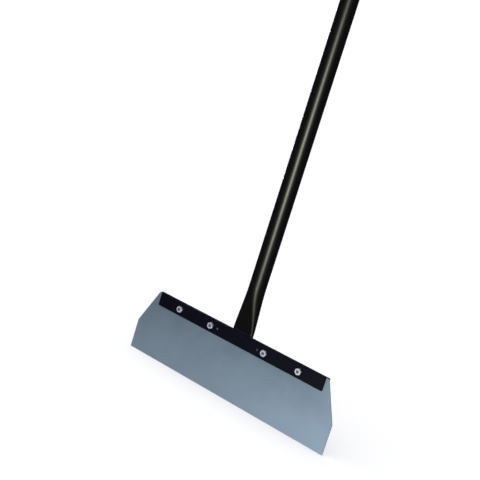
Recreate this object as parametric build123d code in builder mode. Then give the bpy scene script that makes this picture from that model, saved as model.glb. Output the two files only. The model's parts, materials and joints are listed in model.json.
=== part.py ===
"""Long-handled flat-blade smoother, in millimetres.

+Z runs up the handle, +X along the blade, and the bolt heads face -Y. The origin is the centre of the blade's
working edge, halfway through its thickness. The blade is clamped between two flat bars by four bolts, and the
handle is a steel tube whose flattened lower end is welded to the rear bar.
"""

import os
from math import cos, pi, radians, sin, tan

from build123d import *

# Overall sizes
overall_length = 1524.0
blade_width = 457.2
blade_height = 127.0

# Blade: flat sheet with clipped upper corners
blade_thickness = 1.5
corner_cut_width = 32.5
corner_cut_height = 71.0
blade_corner_radius = 1.5

# Clamp bars: rolled flats, flush with the blade's top edge
bar_height = 25.0
front_bar_thickness = 3.0
back_bar_thickness = 5.0
front_bar_setback = 5.6
back_bar_setback = 1.0
bar_edge_radius = 0.6

# Bolts: indented hexagon heads in front, lock nuts on washers behind
bolt_radius = 3.175
bolt_length = 22.2
bolt_hole_gap = 0.25
bolt_point_chamfer = 0.6
hex_across_flats = 11.1
hex_crown_radius = 5.3
crown_slope = 60.0
head_height = 4.0
head_dish_radius = 2.9
head_dish_depth = 0.9
head_dish_slope = 35.0
inner_bolt_x = 62.0
outer_bolt_end_distance = 52.3
bolt_turns = (32.0, 5.0, 27.0, -11.0)

washer_radius = 7.95
washer_bore_gap = 0.4
washer_thickness = 1.6
nut_hex_height = 5.4
nut_collar_height = 2.4
nut_collar_radius = 5.2
nut_lip = 0.5
nut_mouth_radius = 3.9
nut_turns = (12.0, -20.0, 48.0, 3.0)
thread_gap = 0.05
insert_radius = 4.5
insert_height = 1.8

# Locating pins beside the inner bolts
pin_radius = 2.0
pin_x = 46.4
pin_hole_gap = 0.03
pin_chamfer = 0.3

# Handle tube: round above, squashed to a flat oval at the foot
tube_radius = 15.875
tube_wall = 1.8
foot_thickness = 9.0
foot_overlap = 22.0
foot_rise = 4.0
taper_height = 84.0
taper_profile = ((0.0, 0.0), (0.27, 0.27), (0.53, 0.61), (0.80, 0.90))
seam_angle = 87.0

# Weld beads
weld_leg = 4.0
weld_bulge = 0.5
weld_root = 1.2
weld_end_gap = 1.0
foot_weld_leg = 2.0

# Hand grip: ribbed sleeve, closed and rounded end, flat tongue with a hang hole
grip_length = 150.0
grip_wall = 3.0
grip_bore_gap = 0.05
grip_end_wall = 6.0
grip_shoulder_radius = 7.0
grip_flange_radius = 21.5
grip_flange_height = 6.0
grip_flange_edge = 2.0
groove_radius = 1.2
groove_pitch = 7.5
groove_start = 16.0
groove_end_margin = 12.0
tongue_width = 28.0
tongue_thickness = 12.0
hang_hole_radius = 4.5

# Places that follow from the sizes above
blade_front_y = -blade_thickness / 2
blade_back_y = blade_thickness / 2
front_bar_y = blade_front_y - front_bar_thickness
back_bar_y = blade_back_y + back_bar_thickness
nut_seat_y = back_bar_y + washer_thickness
bolt_z = blade_height - bar_height / 2
blade_top_width = blade_width - 2 * corner_cut_width
front_bar_length = blade_top_width - 2 * front_bar_setback
back_bar_length = blade_top_width - 2 * back_bar_setback
outer_bolt_x = front_bar_length / 2 - outer_bolt_end_distance
bolt_xs = (-outer_bolt_x, -inner_bolt_x, inner_bolt_x, outer_bolt_x)
bolt_hole_radius = bolt_radius + bolt_hole_gap
pin_hole_radius = pin_radius + pin_hole_gap
tube_y = back_bar_y + foot_thickness / 2
foot_bottom_z = blade_height - foot_overlap
taper_start_z = blade_height + foot_rise
taper_end_z = taper_start_z + taper_height
grip_radius = tube_radius + grip_wall
grip_bottom_z = overall_length - grip_length
tongue_round_radius = tongue_width / 2
hang_hole_z = overall_length - tongue_round_radius
grip_shoulder_z = hang_hole_z - tongue_round_radius
tube_top_z = grip_shoulder_z - grip_end_wall
groove_span = grip_shoulder_z - grip_bottom_z - groove_start - groove_end_margin
groove_count = int(groove_span / groove_pitch) + 1

os.makedirs("parts", exist_ok=True)


def save(part, label):
    part.label = label
    export_step(part, f"parts/{label}.step")


def fastener_plane(x, y, facing, turn=0.0):
    """Plane at height bolt_z whose normal is +Y or -Y (facing 1 or -1), turned about it by some degrees."""
    return Plane(origin=(x, y, bolt_z), x_dir=(cos(radians(turn)), 0, sin(radians(turn))), z_dir=(0, facing, 0))


def flattened_width(thickness):
    """Outer width of the squashed tube, whose wall keeps the length of its middle line."""
    flat = pi * (2 * tube_radius - thickness) / 2
    return thickness + flat


def oval_outline(thickness, inset):
    """Section of the squashed tube: two flats joined by half rounds."""
    round_radius = thickness / 2 - inset
    flat = (flattened_width(thickness) - thickness) / 2
    front, back = tube_y - round_radius, tube_y + round_radius
    with BuildLine() as outline:
        Line((-flat, front), (flat, front))
        ThreePointArc((flat, front), (flat + round_radius, tube_y), (flat, back))
        Line((flat, back), (-flat, back))
        ThreePointArc((-flat, back), (-flat - round_radius, tube_y), (-flat, front))
    return outline.edges()


def round_outline(inset):
    """Section of the round tube as four arcs, which pair with the four edges of an oval."""
    radius = tube_radius - inset
    seam_x, seam_y = radius * cos(radians(seam_angle)), radius * sin(radians(seam_angle))
    front, back = tube_y - seam_y, tube_y + seam_y
    with BuildLine() as outline:
        ThreePointArc((-seam_x, front), (0, tube_y - radius), (seam_x, front))
        ThreePointArc((seam_x, front), (radius, tube_y), (seam_x, back))
        ThreePointArc((seam_x, back), (0, tube_y + radius), (-seam_x, back))
        ThreePointArc((-seam_x, back), (-radius, tube_y), (-seam_x, front))
    return outline.edges()


def fastening_holes():
    """Cuts the bolt holes and the pin holes into the sketch that is being drawn."""
    with Locations(*[(x, bolt_z) for x in bolt_xs]):
        Circle(bolt_hole_radius, mode=Mode.SUBTRACT)
    with Locations((-pin_x, bolt_z), (pin_x, bolt_z)):
        Circle(pin_hole_radius, mode=Mode.SUBTRACT)


# Blade: sheet steel with clipped upper corners
shoulder_z = blade_height - corner_cut_height
blade_corners = [
    (blade_width / 2, 0),
    (blade_width / 2, shoulder_z),
    (blade_top_width / 2, blade_height),
    (-blade_top_width / 2, blade_height),
    (-blade_width / 2, shoulder_z),
    (-blade_width / 2, 0),
]
with BuildPart() as blade:
    with BuildSketch(Plane.XZ.offset(-blade_back_y)) as blade_outline:
        with BuildLine():
            Polyline(*blade_corners, close=True)
        make_face()
        fillet(blade_outline.vertices(), radius=blade_corner_radius)
        fastening_holes()
    extrude(amount=blade_thickness)
save(blade.part, "blade")

# Clamp bars: rolled flats with slightly rounded long edges
bar_sizes = {
    "front_bar": (front_bar_length, front_bar_thickness, blade_front_y),
    "back_bar": (back_bar_length, back_bar_thickness, back_bar_y),
}
for bar_name, (bar_length, bar_thickness, bar_rear_y) in bar_sizes.items():
    with BuildPart() as bar:
        with BuildSketch(Plane.XZ.offset(-bar_rear_y)):
            with Locations((0, bolt_z)):
                Rectangle(bar_length, bar_height)
            fastening_holes()
        extrude(amount=bar_thickness)
        fillet(bar.edges().filter_by(Axis.X), radius=bar_edge_radius)
    save(bar.part, bar_name)

# Bolts: hexagon heads with a dished middle, each left at its own turn when it was tightened
for number, (x, turn) in enumerate(zip(bolt_xs, bolt_turns), start=1):
    head_seat = fastener_plane(x, front_bar_y, -1, turn)
    with BuildPart() as bolt:
        with BuildSketch(head_seat):
            RegularPolygon(hex_across_flats / 2, 6, major_radius=False)
        extrude(amount=head_height)
        with BuildSketch(head_seat):
            Circle(hex_crown_radius + head_height * tan(radians(crown_slope)))
        extrude(amount=head_height, taper=crown_slope, mode=Mode.INTERSECT)
        with BuildSketch(head_seat.offset(head_height)):
            Circle(head_dish_radius)
        extrude(amount=-head_dish_depth, taper=head_dish_slope, mode=Mode.SUBTRACT)
        with BuildSketch(head_seat):
            Circle(bolt_radius)
        extrude(amount=-bolt_length)
        chamfer(bolt.faces().sort_by(Axis.Y)[-1].edges(), length=bolt_point_chamfer)
    save(bolt.part, f"bolt_{number}")

# Washers, lock nuts and their nylon rings, behind the rear bar
for number, (x, turn) in enumerate(zip(bolt_xs, nut_turns), start=1):
    washer_seat = fastener_plane(x, back_bar_y, 1)
    with BuildPart() as washer:
        with BuildSketch(washer_seat):
            Circle(washer_radius)
            Circle(bolt_radius + washer_bore_gap, mode=Mode.SUBTRACT)
        extrude(amount=washer_thickness)
    save(washer.part, f"washer_{number}")

    nut_seat = fastener_plane(x, nut_seat_y, 1, turn)
    pocket_floor = nut_hex_height + nut_collar_height - nut_lip - insert_height
    with BuildPart() as nut:
        with BuildSketch(nut_seat):
            RegularPolygon(hex_across_flats / 2, 6, major_radius=False)
        extrude(amount=nut_hex_height)
        with BuildSketch(nut_seat):
            Circle(hex_crown_radius + nut_hex_height * tan(radians(crown_slope)))
        extrude(amount=nut_hex_height, taper=crown_slope, mode=Mode.INTERSECT)
        with BuildSketch(nut_seat.offset(nut_hex_height)):
            Circle(nut_collar_radius)
        extrude(amount=nut_collar_height)
        chamfer(nut.faces().sort_by(Axis.Y)[-1].edges(), length=nut_lip)
        with BuildSketch(nut_seat):
            Circle(bolt_radius + thread_gap)
        extrude(amount=nut_hex_height + nut_collar_height, mode=Mode.SUBTRACT)
        with BuildSketch(nut_seat.offset(pocket_floor)):
            Circle(insert_radius)
        extrude(amount=insert_height, mode=Mode.SUBTRACT)
        with BuildSketch(nut_seat.offset(pocket_floor + insert_height)):
            Circle(nut_mouth_radius)
        extrude(amount=nut_lip, mode=Mode.SUBTRACT)
    save(nut.part, f"lock_nut_{number}")

    with BuildPart() as insert:
        with BuildSketch(nut_seat.offset(pocket_floor)):
            Circle(insert_radius)
            Circle(bolt_radius + thread_gap, mode=Mode.SUBTRACT)
        extrude(amount=insert_height)
    save(insert.part, f"nut_insert_{number}")

# Locating pins: pressed through the bars and the blade, flush at both ends
for side, x in (("left", -pin_x), ("right", pin_x)):
    with BuildPart() as pin:
        with BuildSketch(Plane.XZ.offset(-back_bar_y)):
            with Locations((x, bolt_z)):
                Circle(pin_radius)
        extrude(amount=back_bar_y - front_bar_y)
        chamfer(pin.edges().filter_by(GeomType.CIRCLE), length=pin_chamfer)
    save(pin.part, f"locating_pin_{side}")

# Handle tube: round down to the taper, then squashed to a flat oval that lies on the rear bar
with BuildPart() as handle_tube:
    for inset, mode in ((0.0, Mode.ADD), (tube_wall, Mode.SUBTRACT)):
        with BuildSketch(Plane.XY.offset(foot_bottom_z)):
            make_face(oval_outline(foot_thickness, inset))
        extrude(amount=taper_start_z - foot_bottom_z, mode=mode)
        for height_share, growth_share in taper_profile:
            thickness = foot_thickness + growth_share * (2 * tube_radius - foot_thickness)
            with BuildSketch(Plane.XY.offset(taper_start_z + height_share * taper_height)):
                make_face(oval_outline(thickness, inset))
        with BuildSketch(Plane.XY.offset(taper_end_z)):
            make_face(round_outline(inset))
        loft(mode=mode)
        with BuildSketch(Plane.XY.offset(taper_end_z)):
            make_face(round_outline(inset))
        extrude(amount=tube_top_z - taper_end_z, mode=mode)
save(handle_tube.part, "handle_tube")

# Weld beads that join the foot to the rear bar: along both sides, across its end and on top of the bars
foot_flat = (flattened_width(foot_thickness) - foot_thickness) / 2
foot_edge = flattened_width(foot_thickness) / 2
for side, mirrored in (("left", -1), ("right", 1)):
    root_x = mirrored * (foot_flat + weld_root)
    toe_x = mirrored * (foot_edge + weld_leg)
    crown_x = mirrored * (foot_edge - weld_bulge)
    crown_y = back_bar_y + weld_leg
    middle_x = (toe_x + crown_x) / 2 + mirrored * weld_bulge
    middle_y = (back_bar_y + crown_y) / 2 + weld_bulge
    with BuildPart() as side_weld:
        with BuildSketch(Plane.XY.offset(foot_bottom_z + weld_end_gap)):
            with BuildLine():
                Line((root_x, back_bar_y), (toe_x, back_bar_y))
                ThreePointArc((toe_x, back_bar_y), (middle_x, middle_y), (crown_x, crown_y))
                Polyline((crown_x, crown_y), (root_x, crown_y), (root_x, back_bar_y))
            make_face()
            with Locations((mirrored * foot_flat, tube_y)):
                Circle(foot_thickness / 2, mode=Mode.SUBTRACT)
        extrude(amount=foot_overlap - 2 * weld_end_gap)
    save(side_weld.part, f"weld_{side}")

bead_shapes = {
    "weld_foot": ((back_bar_y, foot_bottom_z), foot_weld_leg, foot_weld_leg, -1),
    "weld_top": ((back_bar_y, blade_height), -weld_leg, weld_leg - weld_bulge, 1),
}
for bead_name, ((corner_y, corner_z), leg_y, leg_z, up) in bead_shapes.items():
    toe = (corner_y + leg_y, corner_z)
    crown = (corner_y, corner_z + up * leg_z)
    reach = weld_bulge if leg_y > 0 else -weld_bulge
    middle = ((toe[0] + crown[0]) / 2 + reach, (toe[1] + crown[1]) / 2 + up * weld_bulge)
    with BuildPart() as bead:
        with BuildSketch(Plane.YZ.offset(-foot_flat)):
            with BuildLine():
                Line((corner_y, corner_z), toe)
                ThreePointArc(toe, middle, crown)
                Line(crown, (corner_y, corner_z))
            make_face()
        extrude(amount=2 * foot_flat)
    save(bead.part, bead_name)

# Hand grip: soft sleeve stretched over the tube's end, with a flat tongue for hanging
with BuildPart() as hand_grip:
    with BuildSketch(Plane.XY.offset(grip_bottom_z)):
        with Locations((0, tube_y)):
            Circle(grip_radius)
    extrude(amount=grip_shoulder_z - grip_bottom_z)
    fillet(hand_grip.faces().sort_by(Axis.Z)[-1].edges(), radius=grip_shoulder_radius)
    with BuildSketch(Plane.XY.offset(grip_bottom_z)):
        with Locations((0, tube_y)):
            Circle(grip_flange_radius)
    extrude(amount=grip_flange_height)
    fillet(
        hand_grip.edges().filter_by(GeomType.CIRCLE).group_by(SortBy.RADIUS)[-1], radius=grip_flange_edge
    )
    with BuildSketch(Plane.XZ.offset(-tube_y - tongue_thickness / 2)):
        with Locations((0, hang_hole_z)):
            Circle(tongue_round_radius)
        with Locations((0, grip_shoulder_z)):
            Rectangle(tongue_width, hang_hole_z - grip_shoulder_z, align=(Align.CENTER, Align.MIN))
            Rectangle(tongue_width, grip_end_wall / 2, align=(Align.CENTER, Align.MAX))
    extrude(amount=tongue_thickness)
    for groove_number in range(groove_count):
        with Locations((0, tube_y, grip_bottom_z + groove_start + groove_number * groove_pitch)):
            Torus(grip_radius, groove_radius, mode=Mode.SUBTRACT)
    with BuildSketch(Plane.XZ.offset(-tube_y - tongue_thickness / 2)):
        with Locations((0, hang_hole_z)):
            Circle(hang_hole_radius)
    extrude(amount=tongue_thickness, mode=Mode.SUBTRACT)
    with BuildSketch(Plane.XY.offset(grip_bottom_z)):
        with Locations((0, tube_y)):
            Circle(tube_radius + grip_bore_gap)
    extrude(amount=tube_top_z - grip_bottom_z, mode=Mode.SUBTRACT)
save(hand_grip.part, "hand_grip")
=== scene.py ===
"""Looks of the long-handled flat-blade smoother, in metres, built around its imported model.

+Z runs up the handle, +X along the blade, and the bolt heads face -Y. The sections follow the order in which
the tool is put together: blade, clamp bars, bolts, washers, lock nuts, locating pins, handle tube, welds and
hand grip.
"""

import json
from math import cos, pi, radians, sin, tan

import bmesh
import bpy
from mathutils import Matrix, Vector

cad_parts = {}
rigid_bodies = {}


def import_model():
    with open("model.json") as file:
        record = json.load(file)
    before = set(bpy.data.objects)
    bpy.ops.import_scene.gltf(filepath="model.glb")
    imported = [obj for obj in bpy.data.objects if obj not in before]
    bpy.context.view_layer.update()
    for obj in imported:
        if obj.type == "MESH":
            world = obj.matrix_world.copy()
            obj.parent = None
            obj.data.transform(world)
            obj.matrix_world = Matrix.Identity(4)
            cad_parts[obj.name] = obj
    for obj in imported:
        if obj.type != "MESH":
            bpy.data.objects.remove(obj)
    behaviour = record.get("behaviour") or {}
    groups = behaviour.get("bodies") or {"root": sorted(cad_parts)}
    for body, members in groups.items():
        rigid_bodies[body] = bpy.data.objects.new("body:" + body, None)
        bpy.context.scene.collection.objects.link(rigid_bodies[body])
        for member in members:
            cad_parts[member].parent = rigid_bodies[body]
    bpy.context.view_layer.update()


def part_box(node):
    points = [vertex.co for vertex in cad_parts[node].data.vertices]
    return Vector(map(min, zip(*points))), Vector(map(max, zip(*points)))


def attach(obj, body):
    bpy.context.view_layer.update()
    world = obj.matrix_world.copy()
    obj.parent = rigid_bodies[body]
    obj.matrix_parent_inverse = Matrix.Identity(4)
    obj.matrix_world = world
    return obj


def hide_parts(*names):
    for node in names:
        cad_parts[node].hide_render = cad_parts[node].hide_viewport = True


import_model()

# Camera: low in front of the blade and to its right, tipped sideways so that the handle leans over.
camera_place = Vector((0.8559, -1.4078, 0.6061))
camera_aim = Vector((-0.0596, 0.0, 0.2824))
camera_lean = radians(17.4)
camera_data = bpy.data.cameras.new("camera")
camera_data.sensor_width = 36.0
camera_data.lens = 71.25
camera = bpy.data.objects.new("camera", camera_data)
bpy.context.scene.collection.objects.link(camera)
upright = (camera_aim - camera_place).to_track_quat("-Z", "Y").to_matrix().to_4x4()
camera.matrix_world = Matrix.Translation(camera_place) @ upright @ Matrix.Rotation(camera_lean, 4, "Z")
bpy.context.scene.camera = camera


# Stage: a plain white floor in a white room. Polished pieces mirror a dimmer room, as they do between black
# studio screens, and the floor is left out of what they mirror.
class Wire:
    """One socket of a material's nodes, which can be used in Python sums."""

    def __init__(self, tree, socket=None):
        self.tree, self.socket = tree, socket

    def node(self, kind, settings=None, sockets=None, output=0):
        """A new node of that kind: its settings first, then a value or a Wire for each socket."""
        made = self.tree.nodes.new("ShaderNode" + kind)
        for setting, value in (settings or {}).items():
            setattr(made, setting, value)
        for socket, value in (sockets or {}).items():
            if isinstance(value, Wire):
                self.tree.links.new(value.socket, made.inputs[socket])
            else:
                made.inputs[socket].default_value = value
        return Wire(self.tree, made.outputs[output])

    def maths(self, operation, first, second):
        return self.node("Math", {"operation": operation}, {0: first, 1: second})

    def __add__(self, other):
        return self.maths("ADD", self, other)

    def __radd__(self, other):
        return self.maths("ADD", other, self)

    def __sub__(self, other):
        return self.maths("SUBTRACT", self, other)

    def __rsub__(self, other):
        return self.maths("SUBTRACT", other, self)

    def __mul__(self, other):
        return self.maths("MULTIPLY", self, other)

    def __rmul__(self, other):
        return self.maths("MULTIPLY", other, self)


room_brightness = 1.06
mirrored_room = (0.065, 0.068, 0.08, 1.0)
world = bpy.data.worlds.new("studio")
bpy.context.scene.world = world
world.use_nodes = True
room = world.node_tree
room.nodes.clear()
seen_directly = Wire(room).node("LightPath", output="Is Camera Ray")
white_room = Wire(room).node("Background", sockets={"Color": (1, 1, 1, 1), "Strength": room_brightness})
grey_room = Wire(room).node("Background", sockets={"Color": mirrored_room, "Strength": 1.0})
mixed_room = Wire(room).node("MixShader", sockets={0: seen_directly, 1: grey_room, 2: white_room})
room_output = room.nodes.new("ShaderNodeOutputWorld")
room.links.new(mixed_room.socket, room_output.inputs["Surface"])
bpy.context.scene.view_settings.view_transform = "Standard"


def studio_light(name, kind, place, aim, power, colour, mirrored, **shape):
    """A light of some kind at place, pointing at aim; unless mirrored, shiny pieces don't reflect it."""
    lamp = bpy.data.lights.new(name, kind)
    lamp.energy = power
    lamp.color = colour
    for setting, value in shape.items():
        setattr(lamp, setting, value)
    light = bpy.data.objects.new(name, lamp)
    bpy.context.scene.collection.objects.link(light)
    turned_to = (Vector(aim) - Vector(place)).to_track_quat("-Z", "Y").to_matrix().to_4x4()
    light.matrix_world = Matrix.Translation(Vector(place)) @ turned_to
    light.visible_glossy = mirrored
    light.visible_camera = False
    return light


daylight, warm_white, cool_white = (1.0, 1.0, 1.0), (1.0, 0.97, 0.78), (0.93, 0.97, 1.0)
tall_panel = {"shape": "RECTANGLE", "size": 0.5, "size_y": 0.9}
low_panel = {"shape": "RECTANGLE", "size": 0.7, "size_y": 0.8}
wide_panel = {"shape": "RECTANGLE", "size": 2.4, "size_y": 0.8}
handle_middle, blade_middle, blade_right = (0, 0, 0.3), (0, 0, 0.06), (0.1, 0, 0.06)
studio_light(
    "sky_panel", "SUN", (-0.4, -1.6, 3.0), (0, 0, 0), 2.2, daylight, False, angle=radians(130)
)
handle_lights = [
    studio_light(
        "handle_panel", "AREA", (1.015, -1.95, 0.24), handle_middle, 120.0, warm_white, True, **tall_panel
    ),
    studio_light(
        "rear_handle_panel", "AREA", (-1.2, 1.84, 0.5), (0, 0, 0.6), 70.0, warm_white, True, **tall_panel
    ),
]
blade_lights = [
    studio_light(
        "blade_panel", "AREA", (-0.16, -1.9, -0.62), blade_right, 9.3, cool_white, True, **low_panel
    ),
    studio_light(
        "rear_blade_panel", "AREA", (0, 1.9, -0.7), blade_middle, 16.0, cool_white, True, **wide_panel
    ),
]


def new_material(name, **sockets):
    """A material whose main shader has these values, each named as its socket with underscores."""
    material = bpy.data.materials.new(name)
    material.use_nodes = True
    shader = material.node_tree.nodes["Principled BSDF"]
    for socket, value in sockets.items():
        shader.inputs[socket.replace("_", " ")].default_value = value
    return material


def feed(material, socket, wire):
    """Joins a Wire to a socket of the material's main shader."""
    material.node_tree.links.new(wire.socket, material.node_tree.nodes["Principled BSDF"].inputs[socket])


def object_place(material):
    """The place on the piece, in metres, that a material's patterns follow."""
    return Wire(material.node_tree).node("TexCoord", output="Object")


def stretched(place, factors):
    """The place scaled by its own factor along each axis."""
    return place.node("VectorMath", {"operation": "MULTIPLY"}, {0: place, 1: factors})


def noise(place, scale, detail=2.0, roughness=0.5):
    """Cloudy noise from about 0.3 to 0.7, with this many patches to the metre."""
    sockets = {"Vector": place, "Scale": scale, "Detail": detail, "Roughness": roughness}
    return place.node("TexNoise", sockets=sockets)


def ramp(wire, low, high):
    """0 below low, 1 above high, and a soft rise between them."""
    smooth = {"interpolation_type": "SMOOTHSTEP"}
    return wire.node("MapRange", smooth, {"Value": wire, "From Min": low, "From Max": high})


def blended(share, first, second):
    """The first colour where share is 0 and the second where it is 1."""
    return share.node("Mix", {"data_type": "RGBA"}, {0: share, 6: first, 7: second}, output=2)


def bumped(height, distance):
    """A normal from heights, where 1 stands out by the distance in metres."""
    return height.node("Bump", sockets={"Height": height, "Distance": distance, "Strength": 1.0})


floor_white = new_material(
    "floor_white",
    Base_Color=(0.92, 0.92, 0.92, 1.0),
    Specular_IOR_Level=0.0,
    Emission_Color=(1, 1, 1, 1),
    Emission_Strength=0.4,
)
feed(floor_white, "Roughness", 0.85 + 0.1 * noise(object_place(floor_white), 3.0))
bpy.ops.object.select_all(action="DESELECT")
floor_width = 400.0
bpy.ops.mesh.primitive_grid_add(x_subdivisions=8, y_subdivisions=8, size=floor_width)
floor = bpy.context.object
floor.name = "floor"
floor.data.materials.append(floor_white)
floor.visible_glossy = False
floor.visible_shadow = False

# Blade: one sheet of satin rolled steel, sheared to its outline with clipped upper corners, and drilled for
# the bolts and the locating pins. The sheared edges are darker than the faces, and the lower half has a
# painted reflection that brightens it towards the working edge.
corner_cut_width = 0.0325
corner_cut_height = 0.071
blade_corner_radius = 0.0015
edge_burr = 0.0001
hole_steps = 48
drill_overrun = 0.002
bolt_hole_radius = 0.003425
pin_hole_radius = 0.00203
blade_low, blade_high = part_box("blade")
bolt_boxes = [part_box(f"bolt_{number}") for number in (1, 2, 3, 4)]
bolt_xs = [(low.x + high.x) / 2 for low, high in bolt_boxes]
bolt_z = (bolt_boxes[0][0].z + bolt_boxes[0][1].z) / 2
pin_boxes = {side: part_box(f"locating_pin_{side}") for side in ("left", "right")}
pin_xs = [(low.x + high.x) / 2 for low, high in pin_boxes.values()]


def placed(name):
    """The object that a primitive operator has just added, named, with its place moved into its mesh."""
    bpy.ops.object.transform_apply(location=True, rotation=True, scale=True)
    piece = bpy.context.object
    piece.name = piece.data.name = name
    return piece


def block(name, low, high):
    """A box between two corners, as a start for a piece."""
    bpy.ops.object.select_all(action="DESELECT")
    bpy.ops.mesh.primitive_cube_add(size=1, location=(low + high) / 2, scale=high - low)
    return placed(name)


def rod(name, radius, start, end, steps=hole_steps, end_radius=None):
    """A round bar or cone between two points, as a start for a piece or as a cutter."""
    along = Vector(end) - Vector(start)
    bpy.ops.object.select_all(action="DESELECT")
    bpy.ops.mesh.primitive_cone_add(
        vertices=steps,
        radius1=radius,
        radius2=radius if end_radius is None else end_radius,
        depth=along.length,
        location=(Vector(start) + Vector(end)) / 2,
        rotation=along.to_track_quat("Z", "Y").to_euler(),
    )
    return placed(name)


def pick(piece, kind, test):
    """Edit mode on the piece, with only its VERT, EDGE or FACE parts selected that pass the test."""
    bpy.context.view_layer.objects.active = piece
    bpy.ops.object.mode_set(mode="EDIT")
    bpy.ops.mesh.select_mode(type=kind)
    bpy.ops.mesh.select_all(action="DESELECT")
    mesh = bmesh.from_edit_mesh(piece.data)
    for part in {"VERT": mesh.verts, "EDGE": mesh.edges, "FACE": mesh.faces}[kind]:
        if test(part):
            part.select_set(True)
    bmesh.update_edit_mesh(piece.data)


def apply_modifier(piece, kind, **settings):
    """Adds a modifier with these settings to the piece and applies it."""
    bpy.context.view_layer.objects.active = piece
    modifier = piece.modifiers.new(kind.lower(), kind)
    for setting, value in settings.items():
        setattr(modifier, setting, value)
    bpy.ops.object.modifier_apply(modifier=modifier.name)


def combine(piece, other, operation="DIFFERENCE"):
    """Cuts the other shape out of the piece, or joins or intersects them, and removes the other."""
    apply_modifier(piece, "BOOLEAN", operation=operation, solver="EXACT", object=other)
    bpy.data.objects.remove(other)


def finish_piece(piece, nodes, materials, smooth_angle=35.0):
    """Smooth shading up to an angle, the materials, and the piece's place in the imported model."""
    bpy.ops.object.select_all(action="DESELECT")
    piece.select_set(True)
    bpy.context.view_layer.objects.active = piece
    bpy.ops.object.shade_smooth_by_angle(angle=radians(smooth_angle))
    apply_modifier(piece, "WEIGHTED_NORMAL", keep_sharp=True)
    for material in materials:
        piece.data.materials.append(material)
    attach(piece, "root")
    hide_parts(*nodes)


def drill(piece, front_y, back_y):
    """Cuts the four bolt holes and the two pin holes through a flat piece."""
    radii = {x: bolt_hole_radius for x in bolt_xs} | {x: pin_hole_radius for x in pin_xs}
    for x, radius in radii.items():
        start, end = (x, front_y - drill_overrun, bolt_z), (x, back_y + drill_overrun, bolt_z)
        combine(piece, rod("drill", radius, start, end))


blade = block("blade_sheet", blade_low, blade_high)
for side in (-1, 1):
    pick(blade, "FACE", lambda face: True)
    bpy.ops.mesh.bisect(
        plane_co=(side * blade_high.x, 0, blade_high.z - corner_cut_height),
        plane_no=(side * corner_cut_height, 0, corner_cut_width),
        use_fill=True,
        clear_outer=True,
    )
    bpy.ops.object.mode_set(mode="OBJECT")
pick(blade, "EDGE", lambda edge: abs(edge.verts[0].co.y - edge.verts[1].co.y) > edge_burr)
bpy.ops.mesh.bevel(offset=blade_corner_radius, segments=4, affect="EDGES")
bpy.ops.object.mode_set(mode="OBJECT")
drill(blade, blade_low.y, blade_high.y)
apply_modifier(blade, "BEVEL", width=edge_burr, segments=2, limit_method="ANGLE", angle_limit=radians(60))

dark_steel, light_steel = (0.23, 0.30, 0.37, 1.0), (0.275, 0.35, 0.42, 1.0)
# Painted reflection: the blade's colour is painted brighter towards its working edge, up to this height.
painted_reflection_colour, painted_reflection_top = (0.39, 0.50, 0.61, 1.0), 0.11
satin_steel = new_material("satin_steel", Metallic=0.72, Base_Color=light_steel)
place = object_place(satin_steel)
mottle = noise(place, 16.0, 3.0, 0.55)
stains = noise(place, 45.0, 2.0)
scratches = noise(stretched(place, (14.0, 14.0, 900.0)), 1.0, 3.0, 0.6)
steel_tone = ramp(mottle * 0.62 + stains * 0.2 + scratches * 0.18, 0.36, 0.64)
height = place.node("SeparateXYZ", sockets={0: place}, output="Z")
# Share of the painted reflection: a half at the working edge, fading to none higher up.
painted_reflection_share = 0.5 - 0.5 * ramp(height, 0.005, painted_reflection_top)
rolled_steel = blended(steel_tone, dark_steel, light_steel)
feed(satin_steel, "Base Color", blended(painted_reflection_share, rolled_steel, painted_reflection_colour))
feed(satin_steel, "Roughness", 0.40 + 0.10 * scratches + 0.06 * stains)
feed(satin_steel, "Normal", bumped(scratches, 0.00003))

sheared_steel = new_material("sheared_steel", Metallic=0.6, Base_Color=(0.035, 0.042, 0.05, 1.0))
tearing = noise(stretched(object_place(sheared_steel), (300.0, 4000.0, 300.0)), 1.0, 2.0)
feed(sheared_steel, "Roughness", 0.45 + 0.2 * tearing)
feed(sheared_steel, "Normal", bumped(tearing, 0.00005))
finish_piece(blade, ["blade"], [satin_steel, sheared_steel])
for face in blade.data.polygons:
    face.material_index = 0 if abs(face.normal.y) > 0.5 else 1

# Clamp bars: two lengths of rolled flat, one each side of the blade's upper edge, drilled with it and coated
# black all over. The coating is glossy, with a fine orange peel and a slight bluish cast.
bar_edge_radius = 0.0006


def black_coating(name, colour, shine):
    """Glossy black powder coating with a fine orange peel and faint dust."""
    coating = new_material(name, Specular_IOR_Level=shine, Base_Color=colour)
    place = object_place(coating)
    peel = noise(place, 900.0, 1.0)
    dust = noise(place, 70.0, 4.0, 0.65)
    dusty = tuple(3 * part for part in colour[:3]) + (1.0,)
    feed(coating, "Base Color", blended(ramp(dust, 0.55, 0.8) * 0.35, colour, dusty))
    feed(coating, "Roughness", 0.33 + 0.06 * dust)
    feed(coating, "Normal", bumped(peel, 0.00002))
    return coating


bar_black = black_coating("bar_black", (0.0022, 0.0024, 0.0072, 1.0), 0.09)
for name in ("front_bar", "back_bar"):
    low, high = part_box(name)
    bar = block(f"{name}_flat", low, high)
    pick(bar, "EDGE", lambda edge: True)
    bpy.ops.mesh.bevel(offset=bar_edge_radius, segments=4, affect="EDGES")
    bpy.ops.object.mode_set(mode="OBJECT")
    drill(bar, low.y, high.y)
    finish_piece(bar, [name], [bar_black])

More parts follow.
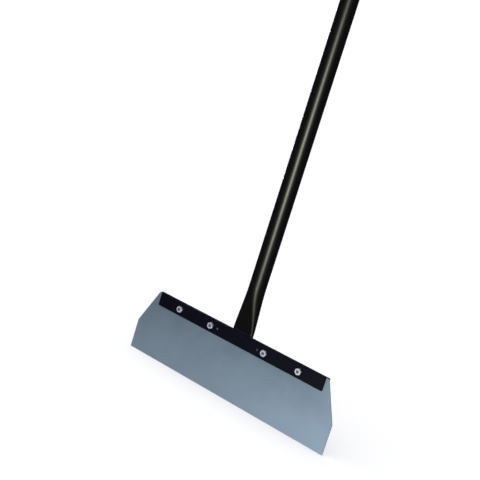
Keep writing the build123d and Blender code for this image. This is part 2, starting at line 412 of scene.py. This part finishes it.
# Bolts: zinc-plated hexagon bolts, cold headed with a dished middle, pushed through from the front, each left
# at its own turn. The thread shows where the shank ends behind the lock nut.
hex_across_flats = 0.0111
hex_crown_radius = 0.0053
crown_slope = radians(60)
head_height = 0.004
dish_radius, dish_floor_radius, dish_depth = 0.0029, 0.0023, 0.0009
cut_above = 0.0003
shank_radius = 0.003175
thread_core_radius = 0.0025
thread_pitch = 0.00127
thread_length = 0.0065
thread_lead_out = 0.0004
thread_crest_gap = 0.00003
thread_flank = 0.8
bolt_chamfer = 0.0006
dish_rim = 0.00012
merge_speck, merge_reach, sliver_reach = 0.0001, 0.000001, 0.00001
bolt_turns = (32, 5, 27, -11)
head_seat_y = bolt_boxes[0][0].y + head_height
shank_end_y = bolt_boxes[0][1].y


def turned(name, outline, steps=64):
    """The outline, pairs of place along the axis and radius, spun round the Y axis into a piece."""
    places = [Vector((radius, along, 0)) for along, radius in outline]
    bpy.ops.object.select_all(action="DESELECT")
    bpy.ops.mesh.primitive_plane_add(size=merge_speck, location=places[0])
    piece = placed(name)
    pick(piece, "VERT", lambda vertex: True)
    bpy.ops.mesh.merge(type="CENTER")
    for start, end in zip(places, places[1:]):
        bpy.ops.mesh.extrude_vertices_move(TRANSFORM_OT_translate={"value": end - start})
    bpy.ops.mesh.select_all(action="SELECT")
    bpy.ops.mesh.spin(steps=steps, angle=2 * pi, center=(0, 0, 0), axis=(0, 1, 0))
    bpy.ops.mesh.select_all(action="SELECT")
    bpy.ops.mesh.remove_doubles(threshold=merge_reach)
    bpy.ops.mesh.select_all(action="SELECT")
    bpy.ops.mesh.normals_make_consistent(inside=False)
    bpy.ops.object.mode_set(mode="OBJECT")
    return piece


def crowned_hexagon(name, seat_y, crown_y):
    """A hexagon along Y whose corners are turned off at a slope on the crown side."""
    hexagon = rod(name, hex_across_flats / 2 / cos(pi / 6), (0, seat_y, 0), (0, crown_y, 0), steps=6)
    slope_radius = hex_crown_radius + abs(crown_y - seat_y) * tan(crown_slope)
    cone = rod("cone", slope_radius, (0, seat_y, 0), (0, crown_y, 0), 96, hex_crown_radius)
    combine(hexagon, cone, "INTERSECT")
    pick(hexagon, "VERT", lambda vertex: True)
    bpy.ops.mesh.remove_doubles(threshold=sliver_reach)
    bpy.ops.object.mode_set(mode="OBJECT")
    return hexagon


def copies(piece, names, xs, turns):
    """Copies of a piece on the Y axis, at bolt height and each at its own x and turn; the piece goes."""
    made = []
    for name, x, turn in zip(names, xs, turns):
        copy = bpy.data.objects.new(name, piece.data.copy())
        copy.data.name = name
        copy.data.transform(Matrix.Translation((x, 0, bolt_z)) @ Matrix.Rotation(radians(-turn), 4, "Y"))
        bpy.context.scene.collection.objects.link(copy)
        made.append(copy)
    bpy.data.objects.remove(piece)
    return made


head = crowned_hexagon("bolt", head_seat_y, head_seat_y - head_height)
crown_y = head_seat_y - head_height
dish_mouth = dish_radius + (dish_radius - dish_floor_radius) * cut_above / dish_depth
dish_floor, dish_top = (0, crown_y + dish_depth, 0), (0, crown_y - cut_above, 0)
combine(head, rod("dish", dish_floor_radius, dish_floor, dish_top, end_radius=dish_mouth))
shank_start_y = head_seat_y - 0.001
thread_start_y = shank_end_y - thread_length
shank_outline = [
    (shank_start_y, 0),
    (shank_start_y, shank_radius),
    (thread_start_y, shank_radius),
    (thread_start_y + thread_lead_out, thread_core_radius),
    (shank_end_y - bolt_chamfer / 2, thread_core_radius),
    (shank_end_y, thread_core_radius - bolt_chamfer / 2),
    (shank_end_y, 0),
]
combine(head, turned("shank", shank_outline, 48), "UNION")
ridge_height = shank_radius - thread_core_radius - thread_crest_gap
ridge_centre = (thread_core_radius, thread_start_y, 0)
bpy.ops.object.select_all(action="DESELECT")
bpy.ops.mesh.primitive_circle_add(vertices=4, radius=ridge_height, location=ridge_centre)
ridge = placed("thread_ridge")
pick(ridge, "VERT", lambda vertex: True)
bpy.ops.transform.resize(value=(1, thread_flank, 1), center_override=ridge_centre)
bpy.ops.object.mode_set(mode="OBJECT")
thread_turns = (thread_length - ridge_height - thread_lead_out) / thread_pitch
thread_steps = int(40 * thread_turns)
apply_modifier(
    ridge,
    "SCREW",
    axis="Y",
    angle=2 * pi * thread_turns,
    screw_offset=thread_pitch * thread_turns,
    steps=thread_steps,
    render_steps=thread_steps,
)
pick(ridge, "EDGE", lambda edge: edge.is_boundary)
bpy.ops.mesh.fill_holes(sides=4)
bpy.ops.mesh.select_all(action="SELECT")
bpy.ops.mesh.normals_make_consistent(inside=False)
bpy.ops.object.mode_set(mode="OBJECT")
combine(head, ridge, "UNION")


def zinc_plating(name, light, dull):
    """Bright zinc plating: nearly even, with faint cloudy patches and a slight lavender cast."""
    zinc = new_material(name, Metallic=0.62, Base_Color=light)
    clouds = noise(object_place(zinc), 420.0, 3.0, 0.6)
    feed(zinc, "Base Color", blended(ramp(clouds, 0.4, 0.7), light, dull))
    feed(zinc, "Roughness", 0.24 + 0.14 * clouds)
    feed(zinc, "Normal", bumped(clouds, 0.00002))
    return zinc


bright_zinc = zinc_plating("bright_zinc", (0.76, 0.76, 0.84, 1.0), (0.60, 0.60, 0.70, 1.0))
# A much darker copy of the plating for the middle of each bolt's dish: painted shade in the recess.
painted_shade_zinc = zinc_plating("painted_shade_zinc", (0.19, 0.19, 0.24, 1.0), (0.10, 0.10, 0.13, 1.0))
bolt_names = [f"bolt_{number}_plated" for number in (1, 2, 3, 4)]
for number, bolt in enumerate(copies(head, bolt_names, bolt_xs, bolt_turns), start=1):
    finish_piece(bolt, [f"bolt_{number}"], [bright_zinc, painted_shade_zinc], 32.0)
    axis_place = Vector((bolt_xs[number - 1], 0, bolt_z))
    # Faces deep in the dish take the darker copy of the plating, as painted shade.
    for face in bolt.data.polygons:
        off_axis = (face.center - axis_place) * Vector((1, 0, 1))
        in_dish = off_axis.length < dish_radius and face.center.y < head_seat_y
        face.material_index = 1 if in_dish and face.center.y > crown_y + dish_rim else 0

# Washers: flat rings stamped from zinc-plated sheet, with one rounded and one sharp rim, under the lock nuts.
washer_radius = 0.00795
washer_bore_radius = 0.003575
stamped_round = 0.0004
round_share = 0.3
washer_low, washer_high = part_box("washer_1")
washer_outline = [
    (washer_low.y, washer_bore_radius),
    (washer_low.y, washer_radius),
    (washer_high.y - stamped_round, washer_radius),
    (washer_high.y - stamped_round * round_share, washer_radius - stamped_round * round_share),
    (washer_high.y, washer_radius - stamped_round),
    (washer_high.y, washer_bore_radius + stamped_round / 2),
    (washer_high.y - stamped_round / 2, washer_bore_radius),
    (washer_low.y, washer_bore_radius),
]
washer_names = [f"washer_{number}_stamped" for number in (1, 2, 3, 4)]
washers = copies(turned("washer", washer_outline, 96), washer_names, bolt_xs, (0, 0, 0, 0))
for number, washer in enumerate(washers, start=1):
    finish_piece(washer, [f"washer_{number}"], [bright_zinc], 25.0)

# Lock nuts: hexagons with a round collar that is rolled in over a blue nylon ring. The ring grips the thread,
# so that the shaking of the blade doesn't loosen it.
nut_hex_height = 0.0054
collar_radius = 0.0052
collar_round = 0.0009
nut_mouth_radius = 0.0039
nut_bore_radius = 0.003225
insert_radius = 0.0045
nut_turns = (12, -20, 48, 3)
nut_low, nut_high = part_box("lock_nut_1")
insert_low, insert_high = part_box("nut_insert_1")
nut = crowned_hexagon("lock_nut", nut_low.y, nut_low.y + nut_hex_height)
collar_sunk = 0.001
collar_start_y = nut_low.y + nut_hex_height - collar_sunk
collar_steps = 4
collar_outline = [(collar_start_y, 0), (collar_start_y, collar_radius)]
for step in range(collar_steps + 1):
    turn = step / collar_steps * pi / 2
    along = nut_high.y - collar_round + collar_round * sin(turn)
    collar_outline.append((along, collar_radius - collar_round + collar_round * cos(turn)))
collar_outline.append((nut_high.y, 0))
combine(nut, turned("collar", collar_outline), "UNION")
past_nut_y = nut_high.y + drill_overrun / 2
combine(nut, rod("bore", nut_bore_radius, (0, nut_low.y - drill_overrun / 2, 0), (0, past_nut_y, 0)))
combine(nut, rod("pocket", insert_radius, (0, insert_low.y, 0), (0, insert_high.y, 0)))
combine(nut, rod("mouth", nut_mouth_radius, (0, insert_low.y, 0), (0, past_nut_y, 0)))
nut_names = [f"lock_nut_{number}_plated" for number in (1, 2, 3, 4)]
for number, lock_nut in enumerate(copies(nut, nut_names, bolt_xs, nut_turns), start=1):
    finish_piece(lock_nut, [f"lock_nut_{number}"], [bright_zinc], 32.0)

blue_nylon = new_material("blue_nylon", Base_Color=(0.03, 0.10, 0.42, 1.0), Specular_IOR_Level=0.4)
nylon_grain = noise(object_place(blue_nylon), 900.0, 2.0)
feed(blue_nylon, "Base Color", blended(nylon_grain, (0.02, 0.075, 0.33, 1.0), (0.05, 0.15, 0.5, 1.0)))
feed(blue_nylon, "Roughness", 0.45 + 0.2 * nylon_grain)
insert_mouth_round = 0.0003
insert_outline = [
    (insert_low.y, nut_bore_radius),
    (insert_low.y, insert_radius),
    (insert_high.y, insert_radius),
    (insert_high.y, nut_bore_radius + insert_mouth_round),
    (insert_high.y - insert_mouth_round, nut_bore_radius),
    (insert_low.y, nut_bore_radius),
]
insert_names = [f"nut_insert_{number}_nylon" for number in (1, 2, 3, 4)]
inserts = copies(turned("nylon_ring", insert_outline), insert_names, bolt_xs, nut_turns)
for number, insert in enumerate(inserts, start=1):
    finish_piece(insert, [f"nut_insert_{number}"], [blue_nylon])

# Locating pins: hardened steel pins pressed through bars and blade and cut flush. The coating over their ends
# has partly worn off, so that they show as small dull spots.
pin_radius = 0.002
pin_round = 0.0003
worn_steel, left_coating = (0.17, 0.17, 0.175, 1.0), (0.012, 0.012, 0.016, 1.0)
worn_pin = new_material("worn_pin", Metallic=0.35, Base_Color=worn_steel)
pin_wear = noise(object_place(worn_pin), 700.0, 3.0, 0.6)
feed(worn_pin, "Base Color", blended(ramp(pin_wear, 0.42, 0.62), worn_steel, left_coating))
feed(worn_pin, "Roughness", 0.35 + 0.3 * pin_wear)
feed(worn_pin, "Normal", bumped(pin_wear, 0.00003))
pin_low, pin_high = pin_boxes["left"]
pin_outline = [
    (pin_low.y, 0),
    (pin_low.y, pin_radius - pin_round),
    (pin_low.y + pin_round * round_share, pin_radius - pin_round * round_share),
    (pin_low.y + pin_round, pin_radius),
    (pin_high.y - pin_round, pin_radius),
    (pin_high.y - pin_round * round_share, pin_radius - pin_round * round_share),
    (pin_high.y, pin_radius - pin_round),
    (pin_high.y, 0),
]
pin_names = [f"locating_pin_{side}_flush" for side in pin_boxes]
for side, pin in zip(pin_boxes, copies(turned("pin", pin_outline, 48), pin_names, pin_xs, (0, 0))):
    finish_piece(pin, [f"locating_pin_{side}"], [worn_pin])

# Handle tube: drawn steel tube, round from the grip down, and squashed in a press to a flat oval at its foot.
# The wall keeps its length all round, so the foot is wider than the tube. It is coated black as the bars are.
tube_wall = 0.0018
foot_thickness = 0.009
taper_start_z, taper_end_z = 0.131, 0.215
taper_steps = 18
tube_steps = 96
ring_reach = 0.00001
tube_low, tube_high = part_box("handle_tube")
tube_y = (tube_low.y + tube_high.y) / 2
tube_radius = (tube_high.y - tube_low.y) / 2


def squashed_thickness(height_share):
    """Thickness of the tube at a share of the taper's height, from the flat foot up to the round tube."""
    growth = 0.667 * height_share + 1.569 * height_share**2 - 1.236 * height_share**3
    return foot_thickness + growth * (2 * tube_radius - foot_thickness)


def half_flat(thickness):
    """Half the width of the flat of the squashed tube: what the half rounds leave of the wall's length."""
    return pi * (2 * tube_radius - thickness) / 4


bpy.ops.object.select_all(action="DESELECT")
bpy.ops.mesh.primitive_circle_add(
    vertices=tube_steps,
    radius=tube_radius,
    location=(0, tube_y, tube_high.z),
    rotation=(0, 0, pi / tube_steps),
)
tube = placed("handle_tube_drawn")
taper_shares = [1 - step / taper_steps for step in range(taper_steps + 1)]
tube_rings = [(taper_start_z + share * (taper_end_z - taper_start_z), share) for share in taper_shares]
tube_rings.append((tube_low.z, 0.0))
ring_z, ring_thickness = tube_high.z, 2 * tube_radius
for next_z, height_share in tube_rings:
    next_thickness = squashed_thickness(height_share)
    pick(tube, "EDGE", lambda edge: all(abs(end.co.z - ring_z) < ring_reach for end in edge.verts))
    bpy.ops.mesh.extrude_region_move(TRANSFORM_OT_translate={"value": (0, 0, next_z - ring_z)})
    for side in (-1, 1):
        pick(tube, "VERT", lambda end: abs(end.co.z - next_z) < ring_reach and side * end.co.x > 0)
        old_flat, new_flat = half_flat(ring_thickness), half_flat(next_thickness)
        squash = next_thickness / ring_thickness
        round_centre = (side * old_flat, tube_y, next_z)
        bpy.ops.transform.resize(value=(squash, squash, 1), center_override=round_centre)
        bpy.ops.transform.translate(value=(side * (new_flat - old_flat), 0, 0))
    bpy.ops.object.mode_set(mode="OBJECT")
    ring_z, ring_thickness = next_z, next_thickness
pick(tube, "FACE", lambda face: True)
bpy.ops.mesh.normals_make_consistent(inside=False)
bpy.ops.object.mode_set(mode="OBJECT")
apply_modifier(tube, "SOLIDIFY", thickness=tube_wall, offset=-1.0, use_even_offset=True, use_rim=True)
tube_black = black_coating("tube_black", (0.0009, 0.0009, 0.0013, 1.0), 0.16)
finish_piece(tube, ["handle_tube"], [tube_black])

# Weld beads: each is laid as a row of overlapping ripples in the corner between the squashed foot and the
# back bar, before the coating, so the same black skin covers them.
ripple_spacing = 0.0019
bead_voxel = 0.0003
bead_unevenness = 0.07
side_bead_radii = (0.0031, 0.0027, 0.0015)
side_bead_gap, side_bead_y, side_bead_inset = 0.0008, 0.0072, 0.0014
top_bead_radii = (0.0015, 0.0027, 0.0027)
top_bead_inset, top_bead_depth, top_bead_rise = 0.0012, 0.0013, 0.0006
foot_bead_radii = (0.0015, 0.0018, 0.0016)
foot_bead_inset, foot_bead_sunk = 0.0012, 0.0004
bar_top_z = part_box("back_bar")[1].z
tube_foot_width = foot_thickness + 2 * half_flat(foot_thickness)
bead_black = black_coating("bead_black", (0.010, 0.0085, 0.031, 1.0), 0.12)


def lay_bead(name, node, start, end, radii):
    """Ripples from start to end with these radii, fused into one bead that sinks into what it joins."""
    start, end = Vector(start), Vector(end)
    ripple_count = int((end - start).length / ripple_spacing) + 1
    for ripple in range(ripple_count):
        share = ripple / (ripple_count - 1)
        swell = 1 + bead_unevenness * sin(2.3 * ripple) + bead_unevenness / 2 * sin(5.1 * ripple)
        bpy.ops.object.select_all(action="DESELECT")
        ripple_place = start.lerp(end, share)
        bpy.ops.mesh.primitive_uv_sphere_add(segments=24, ring_count=16, radius=1, location=ripple_place)
        bpy.context.object.scale = Vector(radii) * swell
        bpy.context.object.name = f"{name}_ripple_{ripple}"
    bpy.ops.object.select_pattern(pattern=f"{name}_ripple_*", extend=False)
    bpy.ops.object.join()
    bead = placed(name)
    apply_modifier(bead, "REMESH", mode="VOXEL", voxel_size=bead_voxel)
    apply_modifier(bead, "SMOOTH", factor=0.5, iterations=2)
    finish_piece(bead, [node], [bead_black], 60.0)


for side, mirrored in (("left", -1), ("right", 1)):
    low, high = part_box(f"weld_{side}")
    x = mirrored * (tube_foot_width / 2 + side_bead_gap)
    start, end = (x, side_bead_y, low.z + side_bead_inset), (x, side_bead_y, high.z - side_bead_inset)
    lay_bead(f"weld_{side}_bead", f"weld_{side}", start, end, side_bead_radii)
low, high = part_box("weld_top")
y, z = high.y - top_bead_depth, bar_top_z + top_bead_rise
start, end = (low.x + top_bead_inset, y, z), (high.x - top_bead_inset, y, z)
lay_bead("weld_top_bead", "weld_top", start, end, top_bead_radii)
low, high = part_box("weld_foot")
y, z = low.y + foot_bead_sunk, high.z - foot_bead_sunk
start, end = (low.x + foot_bead_inset, y, z), (high.x - foot_bead_inset, y, z)
lay_bead("weld_foot_bead", "weld_foot", start, end, foot_bead_radii)

# Hand grip: a moulded sleeve of soft black vinyl, stretched over the tube's end. It has a stop flange below,
# grooves for the fingers, a rounded end, and a flat tongue with a hole to hang the tool by.
grip_wall = 0.003
grip_bore_gap = 0.00005
flange_height = 0.006
flange_round = 0.002
shoulder_round = 0.007
groove_radius = 0.0012
groove_pitch = 0.0075
groove_start = 0.016
groove_count = 13
tongue_half_width = 0.014
tongue_half_thickness = 0.006
tongue_round = 0.0015
tongue_root_depth = 0.004
tongue_top_flat = 0.0002
hang_hole_radius, hang_hole_reach = 0.0045, 0.01
grip_low, grip_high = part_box("hand_grip")
grip_radius = tube_radius + grip_wall
grip_bore_radius = tube_radius + grip_bore_gap
flange_radius = (grip_high.x - grip_low.x) / 2
hang_hole_z = grip_high.z - tongue_half_width
shoulder_z = hang_hole_z - tongue_half_width


def arc(centre_along, centre_radius, radius, start_degrees, end_degrees, steps):
    """Points of an arc of an outline; 0 degrees points outwards and 90 degrees along the axis."""
    step_degrees = (end_degrees - start_degrees) / steps
    turns = [radians(start_degrees + step_degrees * step) for step in range(steps + 1)]
    return [(centre_along + radius * sin(turn), centre_radius + radius * cos(turn)) for turn in turns]


grip_outline = [(tube_high.z, 0), (tube_high.z, grip_bore_radius), (grip_low.z, grip_bore_radius)]
grip_outline += arc(grip_low.z + flange_round, flange_radius - flange_round, flange_round, -90, 0, 5)
flange_top_z = grip_low.z + flange_height
grip_outline += arc(flange_top_z - flange_round, flange_radius - flange_round, flange_round, 0, 90, 5)
grip_outline += [(flange_top_z, grip_radius)]
for groove in range(groove_count):
    groove_z = grip_low.z + groove_start + groove * groove_pitch
    grip_outline += arc(groove_z, grip_radius, groove_radius, 270, 90, 8)
grip_outline += arc(shoulder_z - shoulder_round, grip_radius - shoulder_round, shoulder_round, 0, 90, 8)
grip_outline += [(shoulder_z, 0)]
grip = turned("hand_grip_vinyl", grip_outline, 96)
grip.data.transform(Matrix.Translation((0, tube_y, 0)) @ Matrix.Rotation(pi / 2, 4, "X"))
tongue = block(
    "tongue",
    Vector((-tongue_half_width, tube_y - tongue_half_thickness, shoulder_z - tongue_root_depth)),
    Vector((tongue_half_width, tube_y + tongue_half_thickness, grip_high.z)),
)
pick(
    tongue,
    "EDGE",
    lambda edge: all(vertex.co.z > hang_hole_z for vertex in edge.verts)
    and abs(edge.verts[0].co.y - edge.verts[1].co.y) > tongue_half_thickness,
)
bpy.ops.mesh.bevel(offset=tongue_half_width - tongue_top_flat, segments=16, affect="EDGES")
bpy.ops.object.mode_set(mode="OBJECT")
hole_start, hole_end = (0, tube_y - hang_hole_reach, hang_hole_z), (0, tube_y + hang_hole_reach, hang_hole_z)
combine(tongue, rod("hang_hole", hang_hole_radius, hole_start, hole_end, 64))
apply_modifier(tongue, "BEVEL", width=tongue_round, segments=4, limit_method="ANGLE", angle_limit=radians(50))
combine(grip, tongue, "UNION")
black_vinyl = new_material("black_vinyl", Specular_IOR_Level=0.35, Base_Color=(0.012, 0.012, 0.013, 1.0))
place = object_place(black_vinyl)
pebble = noise(place, 1500.0, 2.0)
scuffs = noise(stretched(place, (60.0, 60.0, 25.0)), 1.0, 4.0, 0.7)
clean_vinyl, scuffed_vinyl = (0.010, 0.010, 0.011, 1.0), (0.035, 0.034, 0.034, 1.0)
feed(black_vinyl, "Base Color", blended(ramp(scuffs, 0.5, 0.8), clean_vinyl, scuffed_vinyl))
feed(black_vinyl, "Roughness", 0.5 + 0.2 * scuffs)
feed(black_vinyl, "Normal", bumped(pebble, 0.00006))
finish_piece(grip, ["hand_grip"], [black_vinyl])

# The tall panels' reflections are kept to the handle, and the low panels' to everything below it.
handle_pieces = {"handle_tube_drawn", "hand_grip_vinyl"}
for lights, on_handle in ((handle_lights, True), (blade_lights, False)):
    lit = bpy.data.collections.new("lit_handle" if on_handle else "lit_blade")
    for piece in bpy.context.scene.objects:
        if piece.type == "MESH" and (piece.name in handle_pieces) == on_handle and piece != floor:
            lit.objects.link(piece)
    for light in lights:
        light.light_linking.receiver_collection = lit
